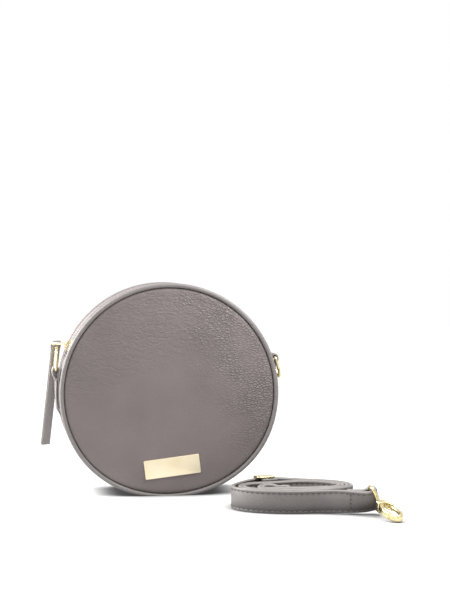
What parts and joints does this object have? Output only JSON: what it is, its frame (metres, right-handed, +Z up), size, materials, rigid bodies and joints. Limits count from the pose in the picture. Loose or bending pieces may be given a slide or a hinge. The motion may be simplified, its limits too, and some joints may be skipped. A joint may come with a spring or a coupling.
{
  "type": "crossbody bag",
  "caption": "Round leather crossbody bag standing on its edge, with a zip over the top, D-rings at the sides and a detached coiled strap with swivel clasps beside it.",
  "frame": {"origin": "centre of the bag's flat foot on the surface that it stands on", "axes": "+Z up, -Y out of the front face with the name plate, +X to the right as seen from the front"},
  "size_m": [0.2831, 0.2154, 0.1894],
  "materials": {
    "back_board": "stiffening board",
    "back_cloth": "woven lining",
    "back_panel_leather": "pebbled grey leather",
    "back_piping_leather": "smooth grey leather over a cord",
    "eye_a_metal": "polished pale gold plating",
    "gate_a_metal": "polished pale gold plating",
    "hook_a_metal": "polished pale gold plating",
    "pin_a_metal": "polished pale gold plating",
    "eye_b_metal": "polished pale gold plating",
    "gate_b_metal": "polished pale gold plating",
    "hook_b_metal": "polished pale gold plating",
    "pin_b_metal": "polished pale gold plating",
    "front_board": "stiffening board",
    "front_cloth": "woven lining",
    "front_panel_leather": "pebbled grey leather",
    "front_piping_leather": "smooth grey leather over a cord",
    "gusset_cloth": "woven lining",
    "left_ring_metal": "polished pale gold plating",
    "left_tab_leather": "smooth grey leather with painted edges",
    "gusset_leather": "smooth grey leather with painted edges",
    "plate_metal": "polished pale gold plating",
    "backing_metal": "polished pale gold plating",
    "pull_ring_metal": "polished pale gold plating",
    "strip_leather": "smooth grey leather with painted edges",
    "right_ring_metal": "polished pale gold plating",
    "right_tab_leather": "smooth grey leather with painted edges",
    "strap_leather": "smooth grey leather with painted edges",
    "slide_metal": "polished pale gold plating",
    "upper_leather_back": "smooth grey leather with painted edges",
    "upper_leather_front": "smooth grey leather with painted edges",
    "slider_metal": "polished pale gold plating",
    "zip_stop_left_brass": "polished pale gold plating",
    "zip_stop_right_brass": "polished pale gold plating",
    "tape_back": "woven zip tape",
    "tape_front": "woven zip tape",
    "zip_teeth_back_brass": "polished pale gold plating",
    "zip_teeth_front_brass": "polished pale gold plating"
  },
  "bodies": {
    "bag": {"back_board": "back_board", "back_lining": "back_cloth", "back_panel": "back_panel_leather", "back_piping": "back_piping_leather", "front_board": "front_board", "front_lining": "front_cloth", "front_panel": "front_panel_leather", "front_piping": "front_piping_leather", "gusset_lining": "gusset_cloth", "left_tab": "left_tab_leather", "lower_gusset": "gusset_leather", "name_plate": "plate_metal", "plate_backing": "backing_metal", "right_tab": "right_tab_leather", "upper_gusset_back": "upper_leather_back", "upper_gusset_front": "upper_leather_front", "zip_stop_left": "zip_stop_left_brass", "zip_stop_right": "zip_stop_right_brass", "zip_tape_back": "tape_back", "zip_tape_front": "tape_front", "zip_teeth_back": "zip_teeth_back_brass", "zip_teeth_front": "zip_teeth_front_brass"},
    "slider": {"zip_slider": "slider_metal"},
    "pull_ring": {"pull_ring": "pull_ring_metal"},
    "pull_strip": {"pull_strip": "strip_leather"},
    "left_ring": {"left_ring": "left_ring_metal"},
    "right_ring": {"right_ring": "right_ring_metal"},
    "strap": {"strap": "strap_leather"},
    "slide": {"strap_slide": "slide_metal"},
    "eye_a": {"clasp_a_eye": "eye_a_metal"},
    "hook_a": {"clasp_a_hook": "hook_a_metal", "clasp_a_pin": "pin_a_metal"},
    "gate_a": {"clasp_a_gate": "gate_a_metal"},
    "eye_b": {"clasp_b_eye": "eye_b_metal"},
    "hook_b": {"clasp_b_hook": "hook_b_metal", "clasp_b_pin": "pin_b_metal"},
    "gate_b": {"clasp_b_gate": "gate_b_metal"}
  },
  "joints": [
    {"name": "zip_run", "type": "hinge", "parent": "bag", "child": "slider", "pos_m": [0, 0, 0.0912], "axis": [0, 1, 0], "range_deg": [0, 120.8], "deforming": ["zip_teeth_front", "zip_teeth_back"]},
    {"name": "pull_ring_swing", "type": "hinge", "parent": "slider", "child": "pull_ring", "pos_m": [-0.09056, 0, 0.13454], "axis": [0.8192, 0.5736, 0], "range_deg": [0, 50]},
    {"name": "pull_strip_swing", "type": "hinge", "parent": "pull_ring", "child": "pull_strip", "pos_m": [-0.09888, 0.01188, 0.13454], "axis": [0.8192, 0.5736, 0], "range_deg": [0, 100]},
    {"name": "left_ring_swing", "type": "hinge", "parent": "bag", "child": "left_ring", "pos_m": [-0.09985, 0, 0.11152], "axis": [0, -1, 0], "range_deg": [0, 155]},
    {"name": "right_ring_swing", "type": "hinge", "parent": "bag", "child": "right_ring", "pos_m": [0.09888, 0, 0.12143], "axis": [0, -1, 0], "range_deg": [0, 155]},
    {"name": "strap_lift", "type": "slide", "parent": "bag", "child": "strap", "axis": [0, 0, 1], "range_m": [0, 0.25]},
    {"name": "slide_play", "type": "slide", "parent": "strap", "child": "slide", "axis": [0.9711, 0.2386, 0.0017], "range_m": [-0.0002, 0.0002]},
    {"name": "eye_a_swing", "type": "hinge", "parent": "strap", "child": "eye_a", "pos_m": [0.15411, -0.14552, 0.01422], "axis": [-0.3616, -0.3649, 0.8579], "range_deg": [-45, 20]},
    {"name": "hook_a_swivel", "type": "hinge", "parent": "eye_a", "child": "hook_a", "pos_m": [0.15411, -0.14552, 0.01422], "axis": [0.2903, -0.9186, -0.2684], "continuous": true},
    {"name": "gate_a_open", "type": "hinge", "parent": "hook_a", "child": "gate_a", "pos_m": [0.16474, -0.16239, 0.00931], "axis": [0.0034, 0.2814, -0.9596], "range_deg": [0, 20], "stiffness_Nm_per_rad": 0.02, "springref_deg": -20.05},
    {"name": "eye_b_swing", "type": "hinge", "parent": "strap", "child": "eye_b", "pos_m": [0.09, -0.096, 0.0104], "axis": [0.0256, -0.8188, 0.5735], "range_deg": [-15, 8]},
    {"name": "hook_b_swivel", "type": "hinge", "parent": "eye_b", "child": "hook_b", "pos_m": [0.09, -0.096, 0.0104], "axis": [0.979, -0.0955, -0.18], "continuous": true},
    {"name": "gate_b_open", "type": "hinge", "parent": "hook_b", "child": "gate_b", "pos_m": [0.10996, -0.09285, 0.00676], "axis": [-0.1803, 0.0059, -0.9836], "range_deg": [0, 20], "stiffness_Nm_per_rad": 0.02, "springref_deg": -20.05}
  ]
}
